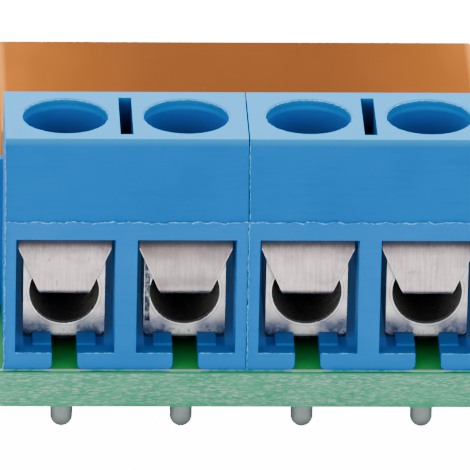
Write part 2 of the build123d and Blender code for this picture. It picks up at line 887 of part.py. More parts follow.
# Switching transistor: small moulded body on three gull-wing leads
with BuildPart() as transistor_body:
    with BuildSketch(Plane.XY.offset(board_top + transistor_standoff)):
        with Locations((transistor_x, transistor_y)):
            Rectangle(transistor_length, transistor_width)
    extrude(amount=transistor_height)
    chamfer(transistor_body.faces().sort_by(Axis.Z)[-1].edges(), transistor_edge)
finish(transistor_body.part, "transistor_body")

with BuildPart() as transistor_leads:
    exit_z = board_top + transistor_standoff + transistor_height / 2
    for across, side in ((-1, -1), (1, -1), (0, 1)):
        lead_x = transistor_x + across * (transistor_length / 2 - transistor_lead_inset)
        face_y = transistor_y + side * transistor_width / 2
        tip_y = transistor_y + side * transistor_span / 2
        knee_y = tip_y - side * transistor_foot
        with BuildSketch(Plane.YZ.offset(lead_x)):
            with BuildLine():
                Polyline(
                    (face_y, exit_z),
                    (knee_y, exit_z),
                    (knee_y, exit_z - transistor_lead_thickness),
                    (knee_y, board_top),
                    (tip_y, board_top),
                    (tip_y, board_top + transistor_lead_thickness),
                    (knee_y + side * transistor_lead_thickness, board_top + transistor_lead_thickness),
                    (knee_y + side * transistor_lead_thickness, exit_z + transistor_lead_thickness),
                    (face_y, exit_z + transistor_lead_thickness),
                    close=True,
                )
            make_face()
        extrude(amount=transistor_lead_width / 2, both=True)
finish(transistor_leads.part, "transistor_leads")

# Chip resistors flat on the board
for number, (x, y) in enumerate(chip_places, start=1):
    with BuildPart() as resistor:
        with BuildSketch(Plane.XY.offset(board_top)):
            with Locations((x, y)):
                Rectangle(chip_length, chip_width)
        extrude(amount=chip_height)
        fillet(resistor.faces().sort_by(Axis.Z)[-1].edges(), chip_edge)
    finish(resistor.part, f"resistor_{number}")

# Indicator lamps: a domed lens on a rim, with two square leads
lens_bottom = board_top + lamp_standoff
rim_top = lens_bottom + lamp_rim_height
dome_start = rim_top + lamp_barrel_height
dome_radius = lamp_diameter / 2
dome_steps = [math.pi / 2 * step / dome_bands for step in range(dome_bands)]
for number, y in enumerate(lamp_places, start=1):
    with BuildPart() as lamp_lens:
        with BuildSketch(Plane.XZ.offset(-y)):
            with BuildLine():
                Polyline(
                    (lamp_x, lens_bottom),
                    (lamp_x + lamp_rim_diameter / 2, lens_bottom),
                    (lamp_x + lamp_rim_diameter / 2, rim_top),
                    (lamp_x + dome_radius, rim_top),
                    *[
                        (lamp_x + dome_radius * math.cos(turn), dome_start + dome_radius * math.sin(turn))
                        for turn in dome_steps
                    ],
                    (lamp_x, dome_start + dome_radius),
                    close=True,
                )
            make_face()
        revolve(axis=Axis((lamp_x, y, 0), (0, 0, 1)))
    finish(lamp_lens.part, f"lamp_lens_{number}")
    with BuildPart() as lamp_leads:
        with BuildSketch(Plane.XY.offset(-lamp_lead_reach)):
            with Locations(*[(lamp_x, y + side * lamp_lead_pitch / 2) for side in (-1, 1)]):
                Rectangle(lamp_lead, lamp_lead)
        extrude(amount=lamp_lead_reach + lens_bottom)
    finish(lamp_leads.part, f"lamp_leads_{number}")
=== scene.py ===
import bpy
import math
from mathutils import Matrix, Vector


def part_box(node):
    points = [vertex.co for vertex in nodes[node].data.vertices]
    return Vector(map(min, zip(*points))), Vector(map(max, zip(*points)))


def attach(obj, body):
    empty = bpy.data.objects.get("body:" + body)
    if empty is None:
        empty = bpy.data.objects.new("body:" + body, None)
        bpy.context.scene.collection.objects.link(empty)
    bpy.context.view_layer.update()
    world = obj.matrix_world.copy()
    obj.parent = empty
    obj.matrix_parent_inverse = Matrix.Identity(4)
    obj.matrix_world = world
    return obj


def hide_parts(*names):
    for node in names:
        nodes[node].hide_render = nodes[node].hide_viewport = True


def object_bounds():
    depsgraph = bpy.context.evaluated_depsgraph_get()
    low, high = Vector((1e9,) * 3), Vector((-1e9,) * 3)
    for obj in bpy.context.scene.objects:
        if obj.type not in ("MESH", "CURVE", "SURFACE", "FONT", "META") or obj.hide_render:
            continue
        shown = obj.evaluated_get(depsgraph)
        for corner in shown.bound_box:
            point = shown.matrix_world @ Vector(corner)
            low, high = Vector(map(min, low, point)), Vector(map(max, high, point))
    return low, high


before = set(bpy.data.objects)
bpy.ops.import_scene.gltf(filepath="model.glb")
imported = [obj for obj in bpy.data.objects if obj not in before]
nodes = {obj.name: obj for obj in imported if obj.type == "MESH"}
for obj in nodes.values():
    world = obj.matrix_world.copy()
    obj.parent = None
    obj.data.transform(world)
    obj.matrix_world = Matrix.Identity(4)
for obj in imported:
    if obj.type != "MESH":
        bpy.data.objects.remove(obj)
cad_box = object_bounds()
bpy.ops.object.select_all(action="DESELECT")

MM = 0.001
MICRON = 0.000001
PHOTO = 470
SENSOR = 36.0

# Sizes of the thin details that are added on the carried-over parts
FLASH_REACH = 0.06 * MM
FLASH_THICK = 0.03 * MM
FLASH_WANDER = 0.24 * MM
FLASH_STEP = 0.06 * MM
RIM_SIDES = 96
RIM_TUBE_SIDES = 5
RIM_OUT = 0.025 * MM
RIM_THICK = 0.016 * MM
RIM_DROP = 0.045 * MM
RIM_WANDER = 0.09 * MM
SILK_RISE = 0.02 * MM
SILK_LINE = 0.15 * MM
SILK_LEFT = 0.15 * MM
SILK_RIGHT = 0.6 * MM
SILK_FROM_EDGE = 0.10 * MM
SILK_UNDER = 0.02 * MM
WORN_EDGE = 0.006 * MM
PAD_RISE = 0.035 * MM
PAD_RING = 0.32 * MM
RELAY_SIDE = 10 * MM
TRACE_RISE = 0.02 * MM
TRACE_STEP = 0.0006 * MM
TRACE_WIDTH = 0.9 * MM
WIDE_TRACE = 2.2 * MM
SHORT_BEND = 1.2 * MM
LONG_BEND = 3.4 * MM
BEND_ROW = 4.0 * MM
HEADER_ROW = 2.54 * MM
DIODE_END = 0.4 * MM
PIN_RADIUS = 0.48 * MM
LAMP_RADIUS = 1.5 * MM
LAMP_RIM = 1.0 * MM
ROUND_SIDES = 40
ROUND_STEPS = 12
SMOOTH_ANGLE = math.radians(40)

# About half the width of each kind of lead
LEAD_HALF = 0.33 * MM
LAMP_LEAD_HALF = 0.28 * MM
CHIP_LEAD_HALF = 0.26 * MM
DIODE_LEAD_HALF = 0.41 * MM

# How far a lead's middle lies inside its node's box, and half the pitch of the optocoupler's leads
TERMINAL_INSET = 0.325 * MM
LAMP_INSET = 0.25 * MM
CHIP_INSET = 0.125 * MM
DIODE_INSET = 0.406 * MM
OPTO_HALF_PITCH = 1.27 * MM


def centre(name):
    """Middle of a node's box along X and Y."""
    low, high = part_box(name)
    return (low.x + high.x) / 2, (low.y + high.y) / 2


board_low, board_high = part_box("pcb_board")
left_low, left_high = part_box("terminal_housing_left")
right_low, right_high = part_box("terminal_housing_right")
relay_low, relay_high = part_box("relay_cover")
guard_low, guard_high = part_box("wire_guard_1")
board_top = board_high.z

# Places of the four terminals, of their openings and of the wire holes
TERMINALS = [centre(f"clamp_cage_{n}")[0] for n in (1, 2, 3, 4)]
BLOCK_MIDDLE = (TERMINALS[2] + TERMINALS[3]) / 2
HALF_PITCH = (TERMINALS[3] - TERMINALS[2]) / 2
FRONT = left_low.y
CAGE_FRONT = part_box("clamp_cage_1")[0].y
TERMINAL_Y = centre("clamp_cage_1")[1]
POCKET_FLOOR = board_top + 0.766 * MM
POCKET_CEILING = board_top + 5.954 * MM
OPENING_HALF = 2.085 * MM
WIRE_AXIS = POCKET_FLOOR + 1.954 * MM
WIRE_RADIUS = 1.485 * MM
GAP_HALF = 0.54 * MM
CAGE_FOOT = POCKET_FLOOR - 0.085 * MM
HOUSING_TOP = left_high.z
CREASE_Z = board_top + 6.75 * MM
SLOPE = 1.31 * MM
RIB_REACH = 0.5 * MM
WELL_RADIUS = 1.8 * MM
SLIT_HALF = 0.275 * MM
SLIT_REACH = 1.97 * MM
FLAP_TOP_HALF = (guard_high.x - guard_low.x) / 2
FLAP_TIP_HALF = 1.05 * MM
FLAP_TIP = WIRE_AXIS + 0.15 * MM
FLAP_FLARE = guard_high.z - 0.58 * MM

# Margin round the masks that pick out one region of a part
MARGIN = 0.02 * MM


# Materials


def material(name, roughness=0.5, metallic=0.0, specular=0.5):
    """A new node material with its shader and its object coordinates."""
    made = bpy.data.materials.new(name)
    made.use_nodes = True
    tree = made.node_tree
    shader = tree.nodes["Principled BSDF"]
    shader.inputs["Roughness"].default_value = roughness
    shader.inputs["Metallic"].default_value = metallic
    shader.inputs["Specular IOR Level"].default_value = specular
    place = tree.nodes.new("ShaderNodeTexCoord").outputs["Object"]
    return made, tree, shader, place


def stretched(tree, place, scale):
    """Object coordinates scaled along each axis."""
    mapping = tree.nodes.new("ShaderNodeMapping")
    mapping.inputs["Scale"].default_value = scale
    tree.links.new(place, mapping.inputs["Vector"])
    return mapping.outputs["Vector"]


def noise(tree, place, scale, detail=2.0, rough=0.5, distortion=0.0):
    """Noise value between 0 and 1."""
    made = tree.nodes.new("ShaderNodeTexNoise")
    made.inputs["Scale"].default_value = scale
    made.inputs["Detail"].default_value = detail
    made.inputs["Roughness"].default_value = rough
    made.inputs["Distortion"].default_value = distortion
    tree.links.new(place, made.inputs["Vector"])
    return made.outputs["Fac"]


def ramp(tree, value, low, high, low_colour, high_colour):
    """Colour that runs from low_colour at low to high_colour at high."""
    made = tree.nodes.new("ShaderNodeValToRGB")
    made.color_ramp.elements[0].position = low
    made.color_ramp.elements[1].position = high
    made.color_ramp.elements[0].color = (*low_colour, 1)
    made.color_ramp.elements[1].color = (*high_colour, 1)
    tree.links.new(value, made.inputs["Fac"])
    return made.outputs["Color"]


def spread(tree, value, low, high, start, end):
    """Maps value from low..high to start..end and clamps it."""
    made = tree.nodes.new("ShaderNodeMapRange")
    for name, number in (("From Min", low), ("From Max", high), ("To Min", start), ("To Max", end)):
        made.inputs[name].default_value = number
    tree.links.new(value, made.inputs["Value"])
    return made.outputs["Result"]


def feed(tree, given, socket):
    """Gives a node input a socket's value, a number or a plain colour."""
    if isinstance(given, tuple):
        socket.default_value = (*given, 1)
    elif isinstance(given, (int, float)):
        socket.default_value = given
    else:
        tree.links.new(given, socket)


def sums(tree, operation, first, second=None):
    """One maths node; each input is a socket or a number."""
    made = tree.nodes.new("ShaderNodeMath")
    made.operation = operation
    feed(tree, first, made.inputs[0])
    if second is not None:
        feed(tree, second, made.inputs[1])
    return made.outputs["Value"]


def product(tree, first, *others):
    """All values multiplied."""
    for other in others:
        first = sums(tree, "MULTIPLY", first, other)
    return first


def apart(tree, first, second):
    """How far two values lie apart."""
    return sums(tree, "ABSOLUTE", sums(tree, "SUBTRACT", first, second))


def is_over(tree, value, limit):
    """1 where the value is greater than the limit, else 0."""
    return sums(tree, "GREATER_THAN", value, limit)


def is_under(tree, value, limit):
    """1 where the value is less than the limit, else 0."""
    return sums(tree, "LESS_THAN", value, limit)


def within(tree, value, low, high):
    """1 where the value lies between low and high, else 0."""
    return product(tree, is_over(tree, value, low), is_under(tree, value, high))


def mixed(tree, share, first, second, blend="MIX"):
    """Mixes two colours, each a socket or a plain colour."""
    made = tree.nodes.new("ShaderNodeMix")
    made.data_type = "RGBA"
    made.blend_type = blend
    feed(tree, share, made.inputs["Factor"])
    colour_inputs = [socket for socket in made.inputs if socket.type == "RGBA"]
    for socket, given in zip(colour_inputs, (first, second)):
        feed(tree, given, socket)
    return [socket for socket in made.outputs if socket.type == "RGBA"][0]


def axes(tree, place):
    """X, Y and Z of the object coordinates."""
    made = tree.nodes.new("ShaderNodeSeparateXYZ")
    tree.links.new(place, made.inputs["Vector"])
    return made.outputs["X"], made.outputs["Y"], made.outputs["Z"]


def bump(tree, shader, height, distance, strength=1.0):
    """Surface relief of the given depth in metres."""
    made = tree.nodes.new("ShaderNodeBump")
    made.inputs["Strength"].default_value = strength
    made.inputs["Distance"].default_value = distance
    tree.links.new(height, made.inputs["Height"])
    tree.links.new(made.outputs["Normal"], shader.inputs["Normal"])


def from_block(tree, x):
    """Distance along X from the middle of the nearer housing."""
    return apart(tree, sums(tree, "ABSOLUTE", x), BLOCK_MIDDLE)


def from_axis(tree, x):
    """Distance along X from the nearest of the four terminal axes."""
    return apart(tree, from_block(tree, x), HALF_PITCH)


def flap_edge(tree, z):
    """Half width of a wire guard's tapered flap at height z."""
    return spread(tree, z, FLAP_TIP, FLAP_FLARE, FLAP_TIP_HALF, FLAP_TOP_HALF)


def terminal_blue():
    """Blue plastic: streaked body, painted shade on the slope with a painted highlight along its upper edge,
    a top painted paler as if lit, painted shade in the pockets, slit and wells, a painted highlight on the
    rear of the wells' mouths and a faint painted glow beside the cages.
    """
    made, tree, shader, place = material("terminal_blue", roughness=0.38, specular=0.04)
    x, y, z = axes(tree, place)
    u = from_axis(tree, x)
    broad = noise(tree, place, 260.0, 3.0)
    colour = ramp(tree, broad, 0.3, 0.72, (0.0, 0.170, 0.57), (0.0, 0.192, 0.63))
    drawn = noise(tree, stretched(tree, place, (420.0, 5200.0, 5200.0)), 1.0, 3.0, 0.6)
    colour = mixed(tree, spread(tree, drawn, 0.5, 0.72, 0.0, 0.35), colour, (0.0, 0.153, 0.54))
    # Sloped front in painted shade, a painted highlight along its upper edge, and the flat top painted paler
    # as if lit from above
    slope = within(tree, z, CREASE_Z, HOUSING_TOP - MARGIN)
    colour = mixed(tree, slope, colour, (0.92, 0.93, 0.96), "MULTIPLY")
    slope_top_highlight = spread(tree, z, HOUSING_TOP - 0.30 * MM, HOUSING_TOP - 0.05 * MM, 0.0, 0.8)
    colour = mixed(tree, product(tree, slope, slope_top_highlight), colour, (0.0, 0.33, 0.72))
    painted_lit_top = is_over(tree, z, HOUSING_TOP - MARGIN)
    colour = mixed(tree, painted_lit_top, colour, (0.0, 0.275, 0.64))
    speck = noise(tree, place, 6500.0, 2.0, 0.6)
    colour = mixed(tree, spread(tree, speck, 0.69, 0.78, 0.0, 0.3), colour, (0.02, 0.27, 0.70))
    # Painted shade in the pockets, darker inwards, less so on their floor
    pocket = product(tree, is_under(tree, u, OPENING_HALF + MARGIN),
                     is_under(tree, z, POCKET_CEILING + 0.01 * MM))
    floor = is_under(tree, z, POCKET_FLOOR + 0.12 * MM)
    depth = spread(tree, y, FRONT + 0.05 * MM, FRONT + 0.5 * MM, 0.0, 0.62)
    depth = product(tree, depth, spread(tree, floor, 0.0, 1.0, 1.0, 0.42))
    colour = mixed(tree, product(tree, pocket, depth), colour, (0.004, 0.10, 0.32))
    # Painted shade in the slit between the wells, darker with depth
    slit = product(tree, is_under(tree, from_block(tree, x), SLIT_HALF + MARGIN),
                   within(tree, y, TERMINAL_Y - SLIT_REACH, TERMINAL_Y + SLIT_REACH))
    slit_shade = spread(tree, z, HOUSING_TOP - 0.03 * MM, HOUSING_TOP - 1.6 * MM, 0.0, 0.93)
    colour = mixed(tree, product(tree, slit, slit_shade), colour, (0.001, 0.006, 0.02))
    # Screw wells: painted shade below and a painted highlight on the rear of their mouth
    well_reach = WELL_RADIUS + 0.1 * MM
    well = product(tree, is_under(tree, u, well_reach),
                   within(tree, y, TERMINAL_Y - well_reach, TERMINAL_Y + well_reach))
    deep = spread(tree, z, HOUSING_TOP - 0.45 * MM, HOUSING_TOP - 1.7 * MM, 0.0, 0.9)
    colour = mixed(tree, product(tree, well, deep), colour, (0.06, 0.105, 0.22))
    rear = spread(tree, y, TERMINAL_Y, TERMINAL_Y + WELL_RADIUS * 0.8, 0.0, 0.75)
    well_mouth_highlight = spread(tree, apart(tree, z, HOUSING_TOP - 0.36 * MM), 0.04 * MM, 0.14 * MM, 0.8, 0.0)
    colour = mixed(tree, product(tree, well, rear, well_mouth_highlight), colour, (0.01, 0.40, 0.85))
    # Painted shade at the back of the pockets
    pocket_back_shade = spread(tree, y, FRONT + 4.2 * MM, FRONT + 5.4 * MM, 0.0, 1.0)
    pocket_back_shade = product(tree, pocket_back_shade, is_over(tree, z, POCKET_FLOOR))
    colour = mixed(tree, product(tree, pocket, pocket_back_shade), colour, (0.002, 0.02, 0.06))
    tree.links.new(colour, shader.inputs["Base Color"])
    # Faint glow beside the cages, for light that the plastic lets through
    glow = product(tree, is_over(tree, u, 1.70 * MM), pocket,
                   spread(tree, y, FRONT + 0.3 * MM, FRONT + 1.2 * MM, 0.0, 1.0),
                   spread(tree, z, POCKET_FLOOR + 2.0 * MM, POCKET_FLOOR + 3.8 * MM, 1.0, 0.2))
    shader.inputs["Emission Color"].default_value = (0.14, 0.40, 1.0, 1)
    tree.links.new(product(tree, glow, 0.085), shader.inputs["Emission Strength"])
    rough = spread(tree, noise(tree, place, 900.0, 3.0), 0.3, 0.7, 0.32, 0.5)
    tree.links.new(rough, shader.inputs["Roughness"])
    bump(tree, shader, noise(tree, place, 4200.0, 4.0, 0.65), 5 * MICRON, 0.4)
    return made


def flash_blue():
    """Whitish and blue moulding flash."""
    made, tree, shader, place = material("moulding_flash", roughness=0.5, specular=0.2)
    shade = noise(tree, place, 5200.0, 3.0, 0.7)
    colour = ramp(tree, shade, 0.42, 0.60, (0.0, 0.21, 0.60), (0.10, 0.56, 0.92))
    tree.links.new(colour, shader.inputs["Base Color"])
    return made


def relay_orange():
    """Orange plastic, dull in the middle, with painted light making it brighter towards its ends, most of all
    the left one, and a painted highlight at the very ends.
    """
    made, tree, shader, place = material("relay_orange", roughness=0.7, specular=0.02)
    x = axes(tree, place)[0]
    middle = (relay_low.x + relay_high.x) / 2
    half = (relay_high.x - relay_low.x) / 2
    away = apart(tree, x, middle)
    # Painted light: brighter towards the ends, more so on the left
    left_light_bias = spread(tree, x, middle - 0.1 * MM, middle + 0.1 * MM, 1.0, 0.88)
    side = spread(tree, product(tree, away, left_light_bias), half * 0.3, half * 1.0, 0.0, 1.0)
    side = sums(tree, "POWER", side, 1.6)
    colour = ramp(tree, side, 0.0, 1.0, (0.136, 0.038, 0.0065), (0.33, 0.086, 0.004))
    mottle = noise(tree, stretched(tree, place, (260.0, 90.0, 260.0)), 1.0, 3.0, 0.55)
    mottle = spread(tree, mottle, 0.38, 0.62, 0.0, 0.28)
    colour = mixed(tree, mottle, colour, (0.112, 0.029, 0.0025))
    fleck = spread(tree, noise(tree, place, 2400.0, 2.0), 0.72, 0.80, 0.0, 0.5)
    colour = mixed(tree, fleck, colour, (0.26, 0.10, 0.035))
    # Painted highlight at the very ends
    end = spread(tree, away, half - 0.35 * MM, half - 0.05 * MM, 0.0, 0.85)
    colour = mixed(tree, end, colour, (0.62, 0.22, 0.02))
    tree.links.new(colour, shader.inputs["Base Color"])
    bump(tree, shader, noise(tree, place, 2600.0, 3.0, 0.6), 4 * MICRON, 0.35)
    return made


def board_green():
    """Green mask on both faces and woven glass fibre along the edges."""
    made, tree, shader, place = material("board_green", roughness=0.45, specular=0.2)
    x, y, z = axes(tree, place)
    normal = tree.nodes.new("ShaderNodeNewGeometry").outputs["True Normal"]
    upright = sums(tree, "ABSOLUTE", axes(tree, normal)[2])
    face = is_over(tree, upright, 0.5)
    mask = ramp(tree, noise(tree, place, 300.0, 3.0), 0.3, 0.7, (0.010, 0.150, 0.030), (0.016, 0.190, 0.040))
    # Painted light on the mask on the board's top in the gaps of the sills, brighter towards the front
    painted_gap_light = product(tree, is_under(tree, from_axis(tree, x), GAP_HALF + 0.1 * MM),
                     spread(tree, y, FRONT + 0.5 * MM, FRONT + 3.4 * MM, 1.0, 0.0),
                     is_over(tree, z, board_top / 2))
    mask = mixed(tree, painted_gap_light, mask, (0.015, 0.60, 0.075))
    cloth = noise(tree, stretched(tree, place, (520.0, 520.0, 2600.0)), 1.0, 4.0, 0.62)
    glass = ramp(tree, cloth, 0.36, 0.64, (0.045, 0.34, 0.19), (0.085, 0.43, 0.25))
    dash = noise(tree, stretched(tree, place, (4300.0, 4300.0, 23000.0)), 1.0, 2.0, 0.55, 0.2)
    pale = spread(tree, dash, 0.50, 0.66, 0.0, 0.9)
    glass = mixed(tree, pale, glass, (0.34, 0.55, 0.46))
    deep = spread(tree, dash, 0.42, 0.30, 0.0, 0.6)
    glass = mixed(tree, deep, glass, (0.022, 0.25, 0.12))
    patch = noise(tree, stretched(tree, place, (420.0, 420.0, 1600.0)), 1.0, 3.0)
    glass = mixed(tree, spread(tree, patch, 0.48, 0.68, 0.0, 0.5), glass, (0.035, 0.42, 0.19))
    low_edge = spread(tree, z, 0.22 * MM, 0.0, 0.0, 0.6)
    glass = mixed(tree, low_edge, glass, (0.012, 0.32, 0.15))
    rim = is_over(tree, z, board_top - 0.075 * MM)
    glass = mixed(tree, rim, glass, (0.008, 0.30, 0.13))
    colour = mixed(tree, face, glass, mask)
    tree.links.new(colour, shader.inputs["Base Color"])
    rough = spread(tree, face, 0.0, 1.0, 0.7, 0.35)
    tree.links.new(rough, shader.inputs["Roughness"])
    bump(tree, shader, dash, 10 * MICRON, 0.4)
    return made


def bright_metal(name, low, high, roughness, streak_scale, relief):
    """Plated metal with fine streaks along the stretched axes."""
    made, tree, shader, place = material(name, roughness=roughness, metallic=1.0)
    streaks = noise(tree, stretched(tree, place, streak_scale), 1.0, 4.0, 0.6)
    colour = ramp(tree, streaks, 0.28, 0.72, low, high)
    tree.links.new(colour, shader.inputs["Base Color"])
    cloud = noise(tree, place, 700.0, 3.0)
    rough = spread(tree, cloud, 0.3, 0.7, roughness * 0.75, roughness * 1.35)
    tree.links.new(rough, shader.inputs["Roughness"])
    bump(tree, shader, streaks, relief * MICRON, 0.6)
    return made


def cage_nickel():
    """Bright folded sheet: painted highlight on the rim round the wire hole, mottled painted blue reflection
    on the lower corners, painted shade within.
    """
    made, tree, shader, place = material("cage_nickel", roughness=0.3, metallic=1.0)
    x, y, z = axes(tree, place)
    u = from_axis(tree, x)
    up = sums(tree, "SUBTRACT", z, WIRE_AXIS)
    from_hole = sums(tree, "SQRT", sums(tree, "ADD", product(tree, u, u), product(tree, up, up)))
    streaks = noise(tree, stretched(tree, place, (2600.0, 900.0, 1400.0)), 1.0, 4.0, 0.6)
    colour = ramp(tree, streaks, 0.3, 0.7, (0.66, 0.61, 0.59), (0.96, 0.92, 0.89))
    blot = noise(tree, place, 1500.0, 4.0, 0.65)
    # Mottled painted blue reflection on the lower corners, a painted highlight between them, dark spots and
    # the dark sole
    low_band = spread(tree, z, CAGE_FOOT + 0.74 * MM, CAGE_FOOT + 0.24 * MM, 0.0, 1.0)
    outward = spread(tree, u, 0.35 * MM, 0.75 * MM, 0.0, 1.0)
    reflection_mottle = spread(tree, noise(tree, place, 2600.0, 4.0, 0.72), 0.40, 0.56, 0.25, 1.0)
    colour = mixed(tree, product(tree, low_band, outward, reflection_mottle), colour, (0.07, 0.17, 0.28))
    painted_shine = product(tree, low_band, spread(tree, u, 0.5 * MM, 0.25 * MM, 0.0, 0.8))
    colour = mixed(tree, painted_shine, colour, (0.98, 0.93, 0.88))
    fine = noise(tree, place, 5200.0, 3.0, 0.7)
    spots = product(tree, spread(tree, fine, 0.56, 0.68, 0.0, 0.75), low_band)
    colour = mixed(tree, spots, colour, (0.16, 0.13, 0.11))
    sole = spread(tree, z, CAGE_FOOT + 0.13 * MM, CAGE_FOOT + 0.06 * MM, 0.0, 0.8)
    colour = mixed(tree, sole, colour, (0.10, 0.11, 0.13))
    # Painted highlight on the rim of the wire hole and painted shade in the groove round it
    rim_edge = WIRE_RADIUS + 0.06 * MM
    groove = within(tree, from_hole, rim_edge, WIRE_RADIUS + 0.11 * MM)
    groove = product(tree, groove, spread(tree, blot, 0.35, 0.6, 0.25, 0.75))
    colour = mixed(tree, groove, colour, (0.26, 0.21, 0.20))
    rim = is_under(tree, from_hole, rim_edge)
    colour = mixed(tree, product(tree, rim, 0.9), colour, (1.0, 0.97, 0.92))
    # Contact shade beside the guard's flap
    seen_edge = flap_edge(tree, sums(tree, "ADD", z, 0.19 * MM))
    beside = spread(tree, sums(tree, "SUBTRACT", u, seen_edge), 0.02 * MM, 0.17 * MM, 0.75, 0.0)
    beside = product(tree, beside, is_over(tree, z, FLAP_TIP - 0.1 * MM))
    colour = mixed(tree, beside, colour, (0.09, 0.10, 0.125))
    # Painted shade of a fold on the left of the second cage
    fold_x = TERMINALS[1] - 1.71 * MM
    fold = product(tree, within(tree, x, fold_x + 0.02 * MM, fold_x + 0.25 * MM),
                   within(tree, z, POCKET_FLOOR + 0.6 * MM, POCKET_FLOOR + 3.6 * MM))
    creased = noise(tree, stretched(tree, place, (6000.0, 6000.0, 3800.0)), 1.0, 3.0, 0.7)
    fold_shade = ramp(tree, creased, 0.48, 0.70, (0.03, 0.045, 0.07), (0.46, 0.45, 0.46))
    colour = mixed(tree, fold, colour, fold_shade)
    # Painted shade inside the cage, darkest at the bottom of the hole
    within_cage = spread(tree, y, CAGE_FRONT + 0.04 * MM, CAGE_FRONT + 0.3 * MM, 0.0, 1.0)
    inside = product(tree, within_cage, is_over(tree, z, CAGE_FOOT - 0.01 * MM))
    height = spread(tree, up, -WIRE_RADIUS * 0.95, WIRE_RADIUS * 0.1, 0.0, 1.0)
    dim = ramp(tree, height, 0.0, 1.0, (0.07, 0.063, 0.055), (0.42, 0.40, 0.36))
    colour = mixed(tree, inside, colour, dim)
    # Solder pin below the board's top
    pin = is_under(tree, z, board_top)
    clouded = noise(tree, place, 3000.0, 3.0)
    pin_shade = ramp(tree, clouded, 0.3, 0.7, (0.40, 0.475, 0.485), (0.48, 0.56, 0.57))
    colour = mixed(tree, pin, colour, pin_shade)
    tree.links.new(colour, shader.inputs["Base Color"])
    dull = sums(tree, "MAXIMUM", product(tree, inside, 0.7), product(tree, pin, 0.6))
    dull = sums(tree, "MAXIMUM", dull, product(tree, low_band, 0.6))
    tree.links.new(sums(tree, "SUBTRACT", 1.0, dull), shader.inputs["Metallic"])
    rough = sums(tree, "MAXIMUM", spread(tree, blot, 0.3, 0.7, 0.2, 0.42), product(tree, pin, 0.5))
    tree.links.new(rough, shader.inputs["Roughness"])
    bump(tree, shader, blot, 7 * MICRON, 0.6)
    return made


def guard_finish():
    """Brushed strip: upright streaks on the flap, a painted shadow band along its upper bend."""
    made, tree, shader, place = material("guard_steel", roughness=0.42, metallic=1.0)
    x, y, z = axes(tree, place)
    low, high = guard_low, guard_high
    streaks = noise(tree, stretched(tree, place, (9500.0, 1500.0, 450.0)), 1.0, 4.0, 0.62)
    colour = ramp(tree, streaks, 0.30, 0.70, (0.60, 0.46, 0.465), (1.0, 0.84, 0.86))
    patch = noise(tree, stretched(tree, place, (900.0, 900.0, 1500.0)), 1.0, 3.0, 0.6)
    colour = mixed(tree, spread(tree, patch, 0.50, 0.68, 0.0, 0.6), colour, (0.48, 0.38, 0.37))
    scratch = noise(tree, stretched(tree, place, (5200.0, 1500.0, 2300.0)), 1.0, 3.0, 0.65, 1.6)
    colour = mixed(tree, spread(tree, scratch, 0.60, 0.70, 0.0, 0.65), colour, (0.26, 0.20, 0.19))
    bright = noise(tree, stretched(tree, place, (11000.0, 1500.0, 260.0)), 1.0, 2.0, 0.5)
    colour = mixed(tree, spread(tree, bright, 0.66, 0.74, 0.0, 0.8), colour, (1.0, 0.93, 0.92))
    flap = is_under(tree, y, low.y + 0.35 * MM)
    # Wear on the second guard, across its lower part and under its bend
    second = within(tree, x, TERMINALS[1] - 2.2 * MM, TERMINALS[1] + 2.2 * MM)
    line = apart(tree, z, low.z + 0.62 * MM)
    worn = sums(tree, "MAXIMUM", spread(tree, line, 0.10 * MM, 0.40 * MM, 0.85, 0.35),
                spread(tree, z, high.z - 1.7 * MM, high.z - 0.9 * MM, 0.0, 0.8))
    worn = product(tree, worn, spread(tree, patch, 0.3, 0.6, 0.75, 1.0))
    worn = product(tree, product(tree, second, flap), worn)
    colour = mixed(tree, worn, colour, (0.30, 0.245, 0.24))
    # Painted shade, a painted shadow band and a painted dark roll at the upper bend
    shade = product(tree, spread(tree, z, high.z - 1.20 * MM, high.z - 0.5 * MM, 0.0, 0.5), flap)
    colour = mixed(tree, shade, colour, (0.30, 0.225, 0.215))
    bend = spread(tree, z, high.z - 0.90 * MM, high.z - 0.36 * MM, 0.0, 1.0)
    bend_shadow = product(tree, bend, flap, spread(tree, scratch, 0.30, 0.6, 0.65, 0.95))
    colour = mixed(tree, bend_shadow, colour, (0.10, 0.085, 0.09))
    roll = spread(tree, z, high.z - 0.58 * MM, high.z - 0.33 * MM, 0.0, 0.92)
    colour = mixed(tree, product(tree, roll, flap), colour, (0.035, 0.04, 0.055))
    # Lower edge and a painted highlight along the slanted edges
    edge = product(tree, is_under(tree, z, low.z + 0.07 * MM), flap)
    colour = mixed(tree, product(tree, edge, 0.6), colour, (0.40, 0.47, 0.55))
    inset = sums(tree, "SUBTRACT", flap_edge(tree, z), from_axis(tree, x))
    edge_highlight = product(tree, is_under(tree, inset, 0.04 * MM), flap, is_under(tree, z, FLAP_FLARE),
                   spread(tree, scratch, 0.35, 0.55, 0.15, 0.9))
    colour = mixed(tree, edge_highlight, colour, (1.0, 0.96, 0.95))
    # Painted shade behind the flap, under the screw
    shade_behind_flap = spread(tree, y, low.y + 0.5 * MM, low.y + 1.0 * MM, 0.0, 1.0)
    colour = mixed(tree, shade_behind_flap, colour, (0.02, 0.018, 0.016))
    tree.links.new(colour, shader.inputs["Base Color"])
    rough = spread(tree, noise(tree, place, 900.0, 3.0), 0.3, 0.7, 0.34, 0.52)
    tree.links.new(rough, shader.inputs["Roughness"])
    bump(tree, shader, streaks, 5 * MICRON, 0.5)
    return made


def moulded(name, low, high, roughness=0.5, specular=0.4, grain=3000.0):
    """Plain moulded plastic with a faint mottle and a fine grain."""
    made, tree, shader, place = material(name, roughness=roughness, specular=specular)
    colour = ramp(tree, noise(tree, place, 500.0, 3.0), 0.3, 0.7, low, high)
    tree.links.new(colour, shader.inputs["Base Color"])
    bump(tree, shader, noise(tree, place, grain, 3.0, 0.6), 6 * MICRON, 0.5)
    return made


